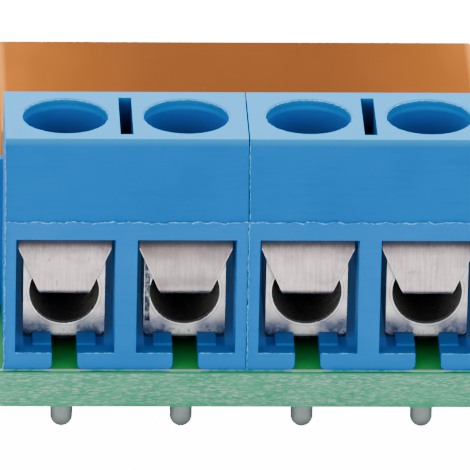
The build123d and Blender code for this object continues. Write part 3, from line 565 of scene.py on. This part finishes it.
def lens(name, deep, pale):
    """Tinted clear resin."""
    made, tree, shader, place = material(name, roughness=0.12, specular=0.5)
    shader.inputs["Transmission Weight"].default_value = 0.35
    shader.inputs["IOR"].default_value = 1.5
    colour = ramp(tree, noise(tree, place, 400.0, 2.0), 0.3, 0.7, deep, pale)
    tree.links.new(colour, shader.inputs["Base Color"])
    return made


def chip_finish(name, low, high):
    """Black chip with bright ends along X."""
    made, tree, shader, place = material(name, roughness=0.4)
    x = axes(tree, place)[0]
    middle = (low.x + high.x) / 2
    end = (high.x - low.x) / 2 * 0.68
    away = apart(tree, x, middle)
    cap = is_over(tree, away, end)
    body = ramp(tree, noise(tree, place, 900.0, 2.0), 0.3, 0.7, (0.01, 0.01, 0.012), (0.03, 0.03, 0.035))
    colour = mixed(tree, cap, body, (0.62, 0.62, 0.64))
    tree.links.new(colour, shader.inputs["Base Color"])
    tree.links.new(cap, shader.inputs["Metallic"])
    return made


def diode_finish():
    """Black resin body with a pale ring at one end."""
    made, tree, shader, place = material("diode_finish", roughness=0.45)
    low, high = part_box("diode_body")
    x = axes(tree, place)[0]
    ring_middle = low.x + (high.x - low.x) * 0.2
    away = apart(tree, x, ring_middle)
    ring = is_under(tree, away, 0.35 * MM)
    body = ramp(tree, noise(tree, place, 900.0, 3.0), 0.3, 0.7, (0.012, 0.012, 0.012), (0.03, 0.03, 0.03))
    colour = mixed(tree, ring, body, (0.7, 0.7, 0.68))
    tree.links.new(colour, shader.inputs["Base Color"])
    return made


def winding_copper():
    """Enamelled copper wire laid in turns round X."""
    made, tree, shader, place = material("winding_copper", roughness=0.35, metallic=1.0)
    wave = tree.nodes.new("ShaderNodeTexWave")
    wave.inputs["Scale"].default_value = 2200.0
    tree.links.new(place, wave.inputs["Vector"])
    colour = ramp(tree, wave.outputs["Fac"], 0.2, 0.8, (0.32, 0.09, 0.03), (0.75, 0.30, 0.13))
    tree.links.new(colour, shader.inputs["Base Color"])
    bump(tree, shader, wave.outputs["Fac"], 30 * MICRON, 0.8)
    return made


def paint(names, finish):
    """Gives each named part its finish."""
    for name in names:
        nodes[name].data.materials.clear()
        nodes[name].data.materials.append(finish)


def numbered(stem, count):
    """Node names stem_1 to stem_count."""
    return [f"{stem}_{n}" for n in range(1, count + 1)]


# Each plated metal: dark and pale colour, roughness, streaks along X, Y and Z, relief in microns
METALS = {
    "screw_steel": ((0.45, 0.45, 0.46), (0.72, 0.72, 0.72), 0.3, (2500.0, 2500.0, 600.0), 5),
    "tin_plate": ((0.46, 0.46, 0.47), (0.70, 0.70, 0.71), 0.36, (1800.0, 1800.0, 1200.0), 6),
    "soft_solder": ((0.50, 0.50, 0.52), (0.78, 0.78, 0.80), 0.28, (900.0, 900.0, 900.0), 9),
    "soft_iron": ((0.40, 0.40, 0.41), (0.58, 0.58, 0.60), 0.35, (1500.0, 900.0, 900.0), 4),
    "gilt_pin": ((0.62, 0.42, 0.12), (0.86, 0.64, 0.26), 0.25, (1800.0, 1800.0, 500.0), 4),
    "spring_bronze": ((0.55, 0.38, 0.18), (0.74, 0.56, 0.30), 0.32, (1600.0, 1600.0, 500.0), 4),
}

blue = terminal_blue()
flash = flash_blue()
metals = {name: bright_metal(name, *values) for name, values in METALS.items()}
tin, solder = metals["tin_plate"], metals["soft_solder"]
black = moulded("black_moulding", (0.010, 0.010, 0.011), (0.026, 0.026, 0.028))
dark_base = moulded("relay_base_moulding", (0.03, 0.03, 0.03), (0.06, 0.055, 0.05))
white_ink = moulded("silk_ink", (0.62, 0.66, 0.62), (0.82, 0.84, 0.80), 0.6, 0.3)

paint(["terminal_housing_left", "terminal_housing_right"], blue)
paint(["pcb_board"], board_green())
paint(["relay_cover"], relay_orange())
paint(["relay_base", "coil_bobbin", "actuator_card"], dark_base)
paint(["coil_winding"], winding_copper())
paint(["coil_core", "relay_yoke", "relay_armature"], metals["soft_iron"])
paint(numbered("clamp_cage", 4), cage_nickel())
paint(numbered("wire_guard", 4), guard_finish())
paint(numbered("clamp_screw", 4), metals["screw_steel"])
paint(["solder_joints", "fixed_contacts"] + numbered("moving_contact", 2), solder)
for stem in ("common_terminal", "make_terminal", "break_terminal", "pole_spring"):
    paint(numbered(stem, 2), metals["spring_bronze"])
paint(numbered("coil_pin", 2) + numbered("lamp_leads", 2), tin)
paint(["optocoupler_leads", "diode_leads", "transistor_leads"], tin)
paint(["header_strip", "optocoupler_body", "transistor_body"], black)
paint(["diode_body"], diode_finish())
paint(numbered("header_pin", 3), metals["gilt_pin"])
for name in numbered("resistor", 3):
    paint([name], chip_finish(f"{name}_finish", *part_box(name)))
red_lens = lens("red_lens", (0.45, 0.01, 0.008), (0.62, 0.03, 0.02))
green_lens = lens("green_lens", (0.05, 0.35, 0.03), (0.12, 0.52, 0.06))


# Modelling helpers


def select_only(pieces):
    """Selects the pieces and makes the first one active."""
    bpy.ops.object.select_all(action="DESELECT")
    for piece in pieces:
        piece.select_set(True)
    bpy.context.view_layer.objects.active = pieces[0]


def apply_place():
    """Moves the selected piece's place, turn and scale into its mesh."""
    bpy.ops.object.transform_apply(location=True, rotation=True, scale=True)


def finish_piece(piece, name, body, finish):
    """Applies the piece's place to its mesh, names it, colours it and lets it ride."""
    select_only([piece])
    apply_place()
    piece.name = name
    piece.data.name = name
    piece.data.materials.clear()
    piece.data.materials.append(finish)
    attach(piece, body)
    piece.select_set(False)
    return piece


def use_modifier(piece, kind, **values):
    """Adds a modifier with the given values and applies it."""
    bpy.context.view_layer.objects.active = piece
    added = piece.modifiers.new(kind.lower(), kind)
    for name, value in values.items():
        setattr(added, name, value)
    bpy.ops.object.modifier_apply(modifier=added.name)


def worn_box(middle, size, turn=0.0):
    """A box with worn edges, turned about Z."""
    bpy.ops.mesh.primitive_cube_add(size=1, location=middle)
    made = bpy.context.object
    made.scale = size
    made.rotation_euler = (0, 0, turn)
    apply_place()
    use_modifier(made, "BEVEL", width=WORN_EDGE, segments=2)
    return made


def block(low, high):
    """A box between two corners with worn edges."""
    low, high = Vector(low), Vector(high)
    return worn_box((low + high) / 2, high - low)


def joined(pieces):
    """Joins pieces into the first one."""
    select_only(pieces)
    bpy.ops.object.join()
    return bpy.context.object


def smoothed(piece):
    """Smooth shading except over sharp edges."""
    select_only([piece])
    bpy.ops.object.shade_smooth_by_angle(angle=SMOOTH_ANGLE)
    return piece


# Raised moulding flash along the housings' edges


def cloud_texture(name, size, depth):
    """Clouds for the ragged edges."""
    made = bpy.data.textures.new(name, "CLOUDS")
    made.noise_scale = size
    made.noise_depth = depth
    return made


wander_texture = cloud_texture("flash_wander", 0.42 * MM, 4)
ragged_texture = cloud_texture("flash_ragged", 0.14 * MM, 2)


def ruffled(piece, texture, strength, direction="NORMAL", group=""):
    """Displaces a piece, or one group of its vertices, by a texture."""
    use_modifier(piece, "DISPLACE", texture=texture, texture_coords="LOCAL", direction=direction,
                 mid_level=0.5, strength=strength, vertex_group=group)


def ribbon(start, end, out, reach=FLASH_REACH, wander=FLASH_WANDER):
    """A thin ragged fin from start to end that stands out along the out direction and wanders a little."""
    start, end = Vector(start), Vector(end)
    along = (end - start).normalized()
    out = (Vector(out) - along * Vector(out).dot(along)).normalized()
    up = along.cross(out)
    length = (end - start).length
    cuts = max(6, int(length / FLASH_STEP))
    bpy.ops.mesh.primitive_grid_add(x_subdivisions=cuts, y_subdivisions=3, size=1)
    fin = bpy.context.object
    # The fin stands from 0.7 of its reach inside the surface to its full reach outside
    fin.scale = (length, reach * 1.7, 1)
    bpy.ops.object.transform_apply(location=False, rotation=False, scale=True)
    turn = Matrix((along, out, up)).transposed().to_4x4()
    turn.translation = (start + end) / 2 + out * reach * 0.15
    fin.matrix_world = turn
    apply_place()
    outer = fin.vertex_groups.new(name="outer")
    limit = (start + out * reach * 0.3).dot(out)
    outer.add([v.index for v in fin.data.vertices if v.co.dot(out) > limit], 1.0, "REPLACE")
    ruffled(fin, wander_texture, wander)
    ruffled(fin, ragged_texture, wander * 0.55, group="outer")
    use_modifier(fin, "SOLIDIFY", thickness=FLASH_THICK, offset=0.0)
    return fin


def rim_flash(x):
    """Thin ragged ring in the chamfer of a screw well's mouth."""
    bpy.ops.mesh.primitive_torus_add(
        major_segments=RIM_SIDES, minor_segments=RIM_TUBE_SIDES, major_radius=WELL_RADIUS + RIM_OUT,
        minor_radius=RIM_THICK, location=(x, TERMINAL_Y, HOUSING_TOP - RIM_DROP))
    ring = bpy.context.object
    apply_place()
    for direction in ("X", "Y"):
        ruffled(ring, ragged_texture, RIM_WANDER, direction)
    return ring


def housing_flash(name, low_x, high_x, terminals):
    """Flash on one housing: its crease, its left edges, the sills and the well mouths."""
    crease = (low_x, FRONT, CREASE_Z)
    slope_end = (low_x, FRONT + SLOPE * 0.98, HOUSING_TOP - 0.1 * MM)
    strips = [
        ribbon(crease, (high_x, FRONT, CREASE_Z), (0, -1, 0.35)),
        ribbon((low_x, FRONT, board_top), crease, (-0.5, -1, 0), FLASH_REACH, FLASH_WANDER * 0.6),
        ribbon(crease, slope_end, (-0.5, -1, 0.3), FLASH_REACH * 0.5, FLASH_WANDER * 0.4),
    ]
    for x in terminals:
        for side in (-1, 1):
            start, end = sorted((x + side * GAP_HALF * 1.1, x + side * OPENING_HALF))
            strips.append(ribbon((start, FRONT, POCKET_FLOOR), (end, FRONT, POCKET_FLOOR), (0, -0.5, 1),
                                 FLASH_REACH * 0.32, FLASH_WANDER * 0.3))
        strips.append(rim_flash(x))
    return finish_piece(joined(strips), name, "board", flash)


housing_flash("flash_left", left_low.x + RIB_REACH, left_high.x, TERMINALS[:2])
housing_flash("flash_right", right_low.x + RIB_REACH, right_high.x, TERMINALS[2:])


# Pale silk line along the board's front edge


def front_ink():
    """Worn greenish ink, with painted light making it whiter in the gaps of the housings' sills."""
    made, tree, shader, place = material("front_ink", roughness=0.6, specular=0.05)
    x = axes(tree, place)[0]
    # Painted light in the gaps of the sills
    gap = spread(tree, from_axis(tree, x), GAP_HALF * 1.2, GAP_HALF * 2.0, 1.0, 0.0)
    worn = spread(tree, noise(tree, place, 3200.0, 3.0, 0.6), 0.35, 0.62, 0.0, 1.0)
    tint = mixed(tree, worn, (0.06, 0.42, 0.32), (0.30, 0.68, 0.58))
    colour = mixed(tree, gap, tint, (0.66, 0.86, 0.80))
    tree.links.new(colour, shader.inputs["Base Color"])
    return made


silk = block((left_low.x - SILK_LEFT, board_low.y + SILK_FROM_EDGE, board_top),
             (right_high.x + SILK_RIGHT, FRONT + SILK_UNDER, board_top + SILK_RISE))
finish_piece(silk, "silk_front", "board", front_ink())


# Silk outlines round the small pieces, with no lettering


def outline(low_x, low_y, high_x, high_y):
    """Four thin lines of ink that frame a rectangle on the board."""
    half = SILK_LINE / 2
    corners = (
        ((low_x - half, low_y - half), (high_x + half, low_y + half)),
        ((low_x - half, high_y - half), (high_x + half, high_y + half)),
        ((low_x - half, low_y + half), (low_x + half, high_y - half)),
        ((high_x - half, low_y + half), (high_x + half, high_y - half)),
    )
    return [block((*first, board_top), (*last, board_top + SILK_RISE)) for first, last in corners]


def framed(name, gap):
    """Outline of a node's box, grown by a gap and kept on the board."""
    low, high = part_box(name)
    return outline(low.x - gap, low.y - gap, high.x + gap, min(high.y + gap, board_high.y - SILK_LINE))


outlined = [("optocoupler_body", 0.25 * MM), ("diode_body", 0.3 * MM), ("header_strip", 0.3 * MM),
            ("transistor_body", 0.25 * MM)]
outlined += [(name, 0.2 * MM) for name in numbered("resistor", 3)]
lines = []
for name, gap in outlined:
    lines += framed(name, gap)
finish_piece(joined(lines), "silk_outlines", "board", white_ink)


# Solder and pads round the leads


def lead_places():
    """Where each lead goes through the board, as x, y and half width."""
    found = [(x, TERMINAL_Y, PIN_RADIUS) for x in TERMINALS]
    for name in numbered("coil_pin", 2) + numbered("common_terminal", 2) + numbered("header_pin", 3):
        found.append((*centre(name), LEAD_HALF))
    for n in (1, 2):
        low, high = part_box(f"make_terminal_{n}")
        found.append((low.x + TERMINAL_INSET, (low.y + high.y) / 2, LEAD_HALF))
        low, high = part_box(f"break_terminal_{n}")
        found.append((high.x - TERMINAL_INSET, (low.y + high.y) / 2, LEAD_HALF))
        low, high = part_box(f"lamp_leads_{n}")
        middle = (low.x + high.x) / 2
        found += [(middle, y, LAMP_LEAD_HALF) for y in (low.y + LAMP_INSET, high.y - LAMP_INSET)]
    low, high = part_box("optocoupler_leads")
    middle = (low.y + high.y) / 2
    found += [(x, middle + side * OPTO_HALF_PITCH, CHIP_LEAD_HALF)
              for x in (low.x + CHIP_INSET, high.x - CHIP_INSET) for side in (-1, 1)]
    low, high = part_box("diode_leads")
    middle = (low.y + high.y) / 2
    found += [(x, middle, DIODE_LEAD_HALF) for x in (low.x + DIODE_INSET, high.x - DIODE_INSET)]
    return found


def turned(x, y, profile):
    """A closed round body on an upright axis, drawn from ring to ring of (z, radius)."""
    (z, radius), *rings = profile
    bpy.ops.mesh.primitive_circle_add(
        vertices=ROUND_SIDES, radius=radius, fill_type="NGON", location=(x, y, z))
    bpy.ops.object.mode_set(mode="EDIT")
    bpy.ops.mesh.select_mode(type="FACE")
    bpy.ops.mesh.select_all(action="SELECT")
    for next_z, next_radius in rings:
        bpy.ops.mesh.extrude_region_move(TRANSFORM_OT_translate={"value": (0, 0, next_z - z)})
        share = next_radius / radius
        bpy.ops.transform.resize(value=(share, share, 1), center_override=(x, y, next_z))
        z, radius = next_z, next_radius
    bpy.ops.mesh.select_all(action="SELECT")
    bpy.ops.mesh.normals_make_consistent(inside=False)
    bpy.ops.object.mode_set(mode="OBJECT")
    return bpy.context.object


def rounded_end(z, radius, up):
    """Profile rings of a round end that starts at height z and closes towards up, 1 or -1."""
    angles = [math.radians(90 * step / ROUND_STEPS) for step in range(1, ROUND_STEPS)]
    rings = [(z + up * radius * math.sin(angle), radius * math.cos(angle)) for angle in angles]
    return rings + [(z + up * radius, radius * 0.02)]


# Height and spread beyond the lead of each ring of a solder fillet, in millimetres
FILLET = ((0.0, 0.60), (-0.10, 0.42), (-0.24, 0.28), (-0.42, 0.17), (-0.62, 0.09), (-0.85, 0.02))
FILLET_FOOT = FILLET[0][1] * MM

# Smooth solder fillets under the board, in place of the flat-sided cones
cones = [turned(x, y, [(z * MM, half + wide * MM) for z, wide in FILLET]) for x, y, half in lead_places()]
fillets = finish_piece(smoothed(joined(cones)), "solder_fillets", "board", solder)
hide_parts("solder_joints")

# Bare tinned rings round the leads, below the board and, beside and behind the relay, above it
pads = []
for x, y, half in lead_places():
    below = half + FILLET_FOOT + PAD_RING * 0.5
    pads.append(turned(x, y, [(0.0, below), (-PAD_RISE, below - PAD_RING * 0.1)]))
    beside_relay = abs(x) > RELAY_SIDE and y > relay_low.y
    if beside_relay or y > relay_high.y:
        above = half + PAD_RING
        pads.append(turned(x, y, [(board_top, above), (board_top + PAD_RISE, above - PAD_RING * 0.1)]))
finish_piece(smoothed(joined(pads)), "lead_pads", "board", tin)


# Round pin tips, smooth over the flat-sided ones


def rounded_pin(x):
    """Solder pin from the board's underside to its round tip."""
    start = cad_box[0].z + PIN_RADIUS
    profile = [(0.0, PIN_RADIUS), (start, PIN_RADIUS)]
    return turned(x, TERMINAL_Y, profile + rounded_end(start, PIN_RADIUS, -1))


def pin_tin():
    """Dull tinned pin, with painted shade towards its sides and its tip."""
    made, tree, shader, place = material("pin_tin", roughness=0.42, metallic=0.3, specular=0.6)
    x, z = axes(tree, place)[::2]
    cloud = noise(tree, place, 2600.0, 3.0, 0.6)
    colour = ramp(tree, cloud, 0.3, 0.7, (0.50, 0.575, 0.59), (0.60, 0.675, 0.70))
    # Painted shade towards the pin's sides and its tip
    rim = spread(tree, from_axis(tree, x), PIN_RADIUS * 0.55, PIN_RADIUS, 0.0, 0.75)
    painted_tip_shade = spread(tree, z, cad_box[0].z + PIN_RADIUS * 1.3, cad_box[0].z, 0.0, 0.75)
    colour = mixed(tree, sums(tree, "MAXIMUM", rim, painted_tip_shade), colour, (0.15, 0.175, 0.18))
    tree.links.new(colour, shader.inputs["Base Color"])
    bump(tree, shader, noise(tree, place, 1800.0, 2.0), 6 * MICRON, 0.4)
    return made


tips = [rounded_pin(x) for x in TERMINALS]
finish_piece(smoothed(joined(tips)), "pin_tips", "board", pin_tin())


# Copper runs under the solder mask on the underside


def run(points, width, thickness):
    """A flat run of copper through the points. Each piece is thicker than the last, so none share a plane."""
    made = []
    for (ax, ay), (bx, by) in zip(points, points[1:]):
        size = (math.hypot(bx - ax, by - ay), width, thickness)
        turn = math.atan2(by - ay, bx - ax)
        made.append(worn_box(((ax + bx) / 2, (ay + by) / 2, -thickness / 2), size, turn))
        thickness += TRACE_STEP
    for x, y in points:
        made.append(turned(x, y, [(0.0, width / 2), (-thickness, width / 2)]))
        thickness += TRACE_STEP
    return made


def mask_over_copper():
    """Green mask, a little paler where it lies on copper."""
    made, tree, shader, place = material("mask_over_copper", roughness=0.35, specular=0.3)
    cloud = noise(tree, place, 300.0, 3.0)
    colour = ramp(tree, cloud, 0.3, 0.7, (0.020, 0.20, 0.045), (0.028, 0.25, 0.06))
    tree.links.new(colour, shader.inputs["Base Color"])
    return made


coil_x, row_front = centre("coil_pin_1")
row_rear = centre("coil_pin_2")[1]
common_x = centre("common_terminal_1")[0]
header_x = centre("header_pin_1")[0]
break_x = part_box("break_terminal_1")[1].x - TERMINAL_INSET
make_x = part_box("make_terminal_1")[0].x + TERMINAL_INSET
diode_low, diode_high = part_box("diode_leads")
diode_y = centre("diode_leads")[1]
routes = (
    ([(TERMINALS[3], TERMINAL_Y), (break_x, row_front), (break_x, row_rear)], WIDE_TRACE * 0.8),
    ([(TERMINALS[2], TERMINAL_Y), (common_x, row_front), (common_x, row_rear)], WIDE_TRACE * 0.8),
    ([(TERMINALS[1], TERMINAL_Y), (make_x - SHORT_BEND, row_front), (make_x, row_front)], WIDE_TRACE * 0.7),
    ([(make_x, row_front), (make_x, row_rear)], WIDE_TRACE * 0.7),
    ([(TERMINALS[0], TERMINAL_Y), (coil_x, row_front)], TRACE_WIDTH),
    ([(coil_x, row_rear), (coil_x + LONG_BEND, diode_y), (diode_low.x + DIODE_END, diode_y)], TRACE_WIDTH),
    ([(diode_high.x - DIODE_END, diode_y), (header_x - SHORT_BEND, BEND_ROW), (header_x, HEADER_ROW)],
     TRACE_WIDTH),
)
runs = []
for points, width in routes:
    runs += run(points, width, TRACE_RISE + len(runs) * TRACE_STEP)
finish_piece(smoothed(joined(runs)), "copper_runs", "board", mask_over_copper())


# Smooth lamp lenses over the banded ones


def lamp(number, finish):
    """Round lens with a flat rim and a domed end, in place of the banded one."""
    x, y = centre(f"lamp_lens_{number}")
    low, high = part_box(f"lamp_lens_{number}")
    rim = (high.x - low.x) / 2
    rim_top, dome = low.z + LAMP_RIM, high.z - LAMP_RADIUS
    profile = [(low.z, rim), (rim_top, rim), (rim_top, LAMP_RADIUS), (dome, LAMP_RADIUS)]
    body = turned(x, y, profile + rounded_end(dome, LAMP_RADIUS, 1))
    made = finish_piece(smoothed(body), f"lamp_{number}", "board", finish)
    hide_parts(f"lamp_lens_{number}")


lamp(1, red_lens)
lamp(2, green_lens)


# Studio


def sheet_of_light(name, place, target, size, power):
    """A soft rectangular light that looks at the target."""
    light = bpy.data.lights.new(name, "AREA")
    light.shape = "RECTANGLE"
    light.size, light.size_y = size
    light.energy = power
    made = bpy.data.objects.new(name, light)
    made.location = place
    made.rotation_mode = "QUATERNION"
    made.rotation_quaternion = (Vector(place) - Vector(target)).to_track_quat("Z", "Y")
    bpy.context.scene.collection.objects.link(made)


def lit_for_camera(tree, dim, bright):
    """Strength that is bright where the camera looks at it and dim for all other rays."""
    seen = tree.nodes.new("ShaderNodeLightPath").outputs["Is Camera Ray"]
    return spread(tree, seen, 0.0, 1.0, dim, bright)


def pale_floor():
    """Plain white floor under the pins that shows pure white to the camera."""
    bpy.ops.mesh.primitive_plane_add(size=4.0, location=(0, 0, cad_box[0].z))
    floor = bpy.context.object
    floor.name = "floor"
    finish = bpy.data.materials.new("white_floor")
    finish.use_nodes = True
    tree = finish.node_tree
    shader = tree.nodes["Principled BSDF"]
    shader.inputs["Base Color"].default_value = (0.72, 0.72, 0.72, 1)
    shader.inputs["Roughness"].default_value = 0.9
    shader.inputs["Specular IOR Level"].default_value = 0.0
    shader.inputs["Emission Color"].default_value = (1, 1, 1, 1)
    tree.links.new(lit_for_camera(tree, 0.0, 15.0), shader.inputs["Emission Strength"])
    floor.data.materials.append(finish)


def studio():
    """White surroundings and three soft lights."""
    world = bpy.data.worlds.new("studio")
    world.use_nodes = True
    tree = world.node_tree
    ground = tree.nodes["Background"]
    ground.inputs["Color"].default_value = (1, 1, 1, 1)
    tree.links.new(lit_for_camera(tree, 0.5, 15.0), ground.inputs["Strength"])
    bpy.context.scene.world = world
    # Places and sizes in metres, power in watts
    middle = (0, -0.008, 0.004)
    sheet_of_light("overhead", (0.0, 0.17, 0.29), middle, (0.34, 0.20), 4.2)
    sheet_of_light("front_left", (-0.20, -0.30, 0.09), middle, (0.16, 0.16), 0.4)
    sheet_of_light("front_right", (0.22, -0.28, 0.08), middle, (0.14, 0.14), 0.25)


def photo_camera():
    """Camera at the photograph's angle, solved from the terminals' pitch and the board's edges."""
    turn, rise, roll = math.radians(-2.622), math.radians(23.865), math.radians(1.215)
    away = 455.489 * MM
    focal_pixels = 10847.7
    target = Vector((-0.513 * MM, -13.0 * MM, 7.03 * MM))
    back = Vector((math.sin(turn) * math.cos(rise), -math.cos(turn) * math.cos(rise), math.sin(rise)))
    right = (-back).cross(Vector((0, 0, 1))).normalized()
    up = right.cross(-back)
    level = right * math.cos(roll) + up * math.sin(roll)
    plumb = up * math.cos(roll) - right * math.sin(roll)
    data = bpy.data.cameras.new("photo_camera")
    data.sensor_width = SENSOR
    data.lens = focal_pixels / PHOTO * SENSOR
    data.clip_start, data.clip_end = 0.01, 20.0
    camera = bpy.data.objects.new("photo_camera", data)
    place = Matrix((level, plumb, back)).transposed().to_4x4()
    place.translation = target + back * away
    camera.matrix_world = place
    bpy.context.scene.collection.objects.link(camera)
    bpy.context.scene.camera = camera


pale_floor()
studio()
photo_camera()
